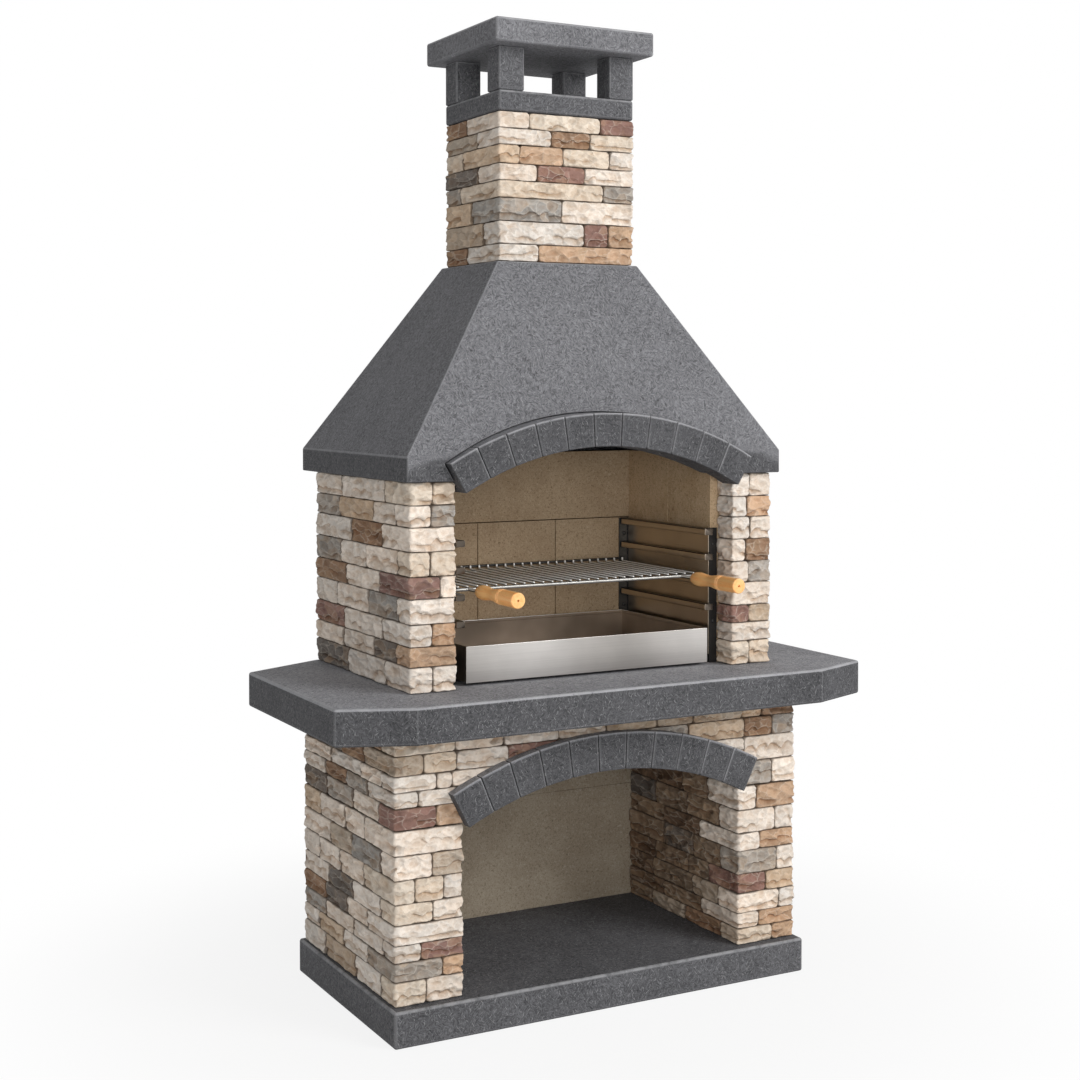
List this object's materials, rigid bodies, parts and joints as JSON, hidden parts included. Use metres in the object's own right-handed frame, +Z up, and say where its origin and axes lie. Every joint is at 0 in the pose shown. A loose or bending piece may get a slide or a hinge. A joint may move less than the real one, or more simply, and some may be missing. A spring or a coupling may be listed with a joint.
{
  "type": "stone garden barbecue",
  "caption": "Free-standing stone-clad garden barbecue with arched wood store, worktop, fire box with sliding grate and ember tray, tapered hood and capped chimney.",
  "frame": {"origin": "middle of the plinth's underside, on the ground", "axes": "+Z up, -Y towards the open front, +X to the right seen from the front"},
  "size_m": [1.362, 0.7555, 2.248],
  "materials": {
    "cast_stone": "charcoal cast stone with pale flecks, honed",
    "split_stone": "split-face stone in cream, tan, brown, mauve and grey",
    "concrete": "plain cast concrete",
    "refractory": "sandy beige refractory slab",
    "black_steel": "satin black heat paint",
    "stainless": "brushed stainless sheet",
    "grate_steel": "bright drawn stainless rod",
    "beech": "turned and varnished beech"
  },
  "bodies": {
    "masonry": {"base_plinth": "cast_stone", "chimney_cap": "cast_stone", "chimney_collar": "cast_stone", "chimney_stones": "split_stone", "firebox_back_wall": "concrete", "front_cross_bar": "black_steel", "hood": "cast_stone", "hood_arch_stones": "cast_stone", "left_front_cap_post": "cast_stone", "left_front_upright": "black_steel", "left_inner_stones": "split_stone", "left_leg_core": "concrete", "left_leg_stones": "split_stone", "left_pier_core": "concrete", "left_pier_stones": "split_stone", "left_rack_panel": "stainless", "left_rack_runners": "stainless", "left_rear_cap_post": "cast_stone", "left_rear_lining": "refractory", "left_rear_upright": "black_steel", "left_shoulder_stones": "split_stone", "left_side_lining_front": "refractory", "left_side_lining_rear": "refractory", "lower_back_panel": "concrete", "lower_flue_block": "concrete", "rack_screws": "black_steel", "rear_cross_bar": "black_steel", "rear_lining_centre": "refractory", "rear_lining_top": "refractory", "right_front_cap_post": "cast_stone", "right_front_upright": "black_steel", "right_inner_stones": "split_stone", "right_leg_core": "concrete", "right_leg_stones": "split_stone", "right_pier_core": "concrete", "right_pier_stones": "split_stone", "right_rack_panel": "stainless", "right_rack_runners": "stainless", "right_rear_cap_post": "cast_stone", "right_rear_lining": "refractory", "right_rear_upright": "black_steel", "right_shoulder_stones": "split_stone", "right_side_lining_front": "refractory", "right_side_lining_rear": "refractory", "store_arch_stones": "cast_stone", "store_lintel": "concrete", "upper_back_panel": "concrete", "upper_flue_block": "concrete", "worktop": "cast_stone"},
    "ember_tray": {"ember_tray": "stainless"},
    "grate": {"grate_frame": "grate_steel", "grate_wires": "grate_steel", "grate_lip_rail": "grate_steel", "left_handle_rod": "grate_steel", "right_handle_rod": "grate_steel", "left_wooden_handle": "beech", "right_wooden_handle": "beech"}
  },
  "joints": [
    {"name": "grate_slide", "type": "slide", "parent": "masonry", "child": "grate", "axis": [0, -1, 0], "range_m": [0, 0.3]},
    {"name": "ember_tray_slide", "type": "slide", "parent": "masonry", "child": "ember_tray", "axis": [0, -1, 0], "range_m": [0, 0.3]}
  ]
}
